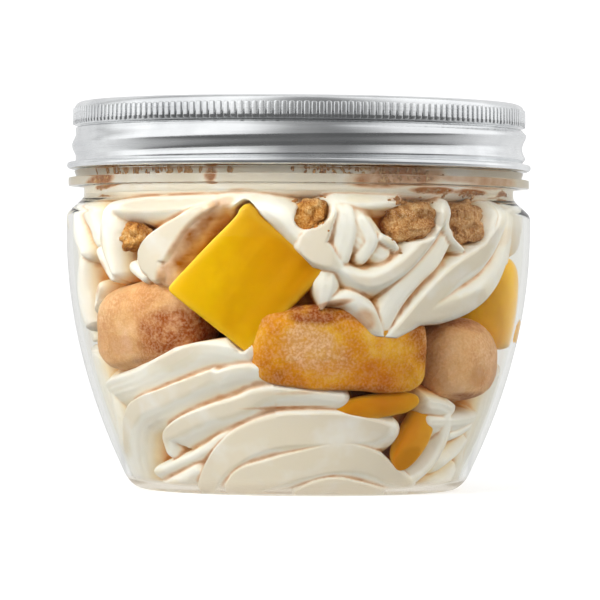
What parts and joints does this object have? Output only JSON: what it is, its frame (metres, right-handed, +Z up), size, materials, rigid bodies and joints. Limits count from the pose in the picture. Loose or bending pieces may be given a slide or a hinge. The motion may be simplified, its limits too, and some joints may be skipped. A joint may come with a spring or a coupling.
{
  "type": "mango tiramisu in a screw-top jar",
  "caption": "Clear bowl-shaped jar with an aluminium screw lid, filled with piped cream, ladyfingers, mango pieces and biscuit chunks.",
  "frame": {"origin": "centre of the jar's flat foot, on the surface it stands on", "axes": "+Z up along the jar's axis; -Y towards the front shown; +X to the right seen from the front"},
  "size_m": [0.086, 0.086, 0.0714],
  "materials": {
    "clear_plastic": "clear, glossy",
    "aluminium": "satin",
    "cream": "soft sheen",
    "sponge": "dry crumb",
    "soaked_sponge": "moist crumb",
    "mango": "moist",
    "mango_slice": "moist",
    "biscuit": "dry crumb"
  },
  "bodies": {
    "root": {"jar": "clear_plastic", "lid": "aluminium", "cream_base": "cream", "cream_top": "cream", "ladyfinger_left": "sponge", "ladyfinger_left_back": "sponge", "ladyfinger_middle": "soaked_sponge", "ladyfinger_middle_back": "soaked_sponge", "ladyfinger_right": "sponge", "ladyfinger_right_back": "sponge", "mango_cube": "mango", "mango_cube_back": "mango", "mango_side": "mango", "mango_side_back": "mango", "mango_slice_upper": "mango_slice", "mango_slice_upper_back": "mango_slice", "mango_slice_lower": "mango_slice", "mango_slice_lower_back": "mango_slice", "biscuit_chunk_1": "biscuit", "biscuit_chunk_1_back": "biscuit", "biscuit_chunk_2": "biscuit", "biscuit_chunk_2_back": "biscuit", "biscuit_chunk_3": "biscuit", "biscuit_chunk_3_back": "biscuit", "biscuit_chunk_4": "biscuit", "biscuit_chunk_4_back": "biscuit"}
  },
  "joints": []
}
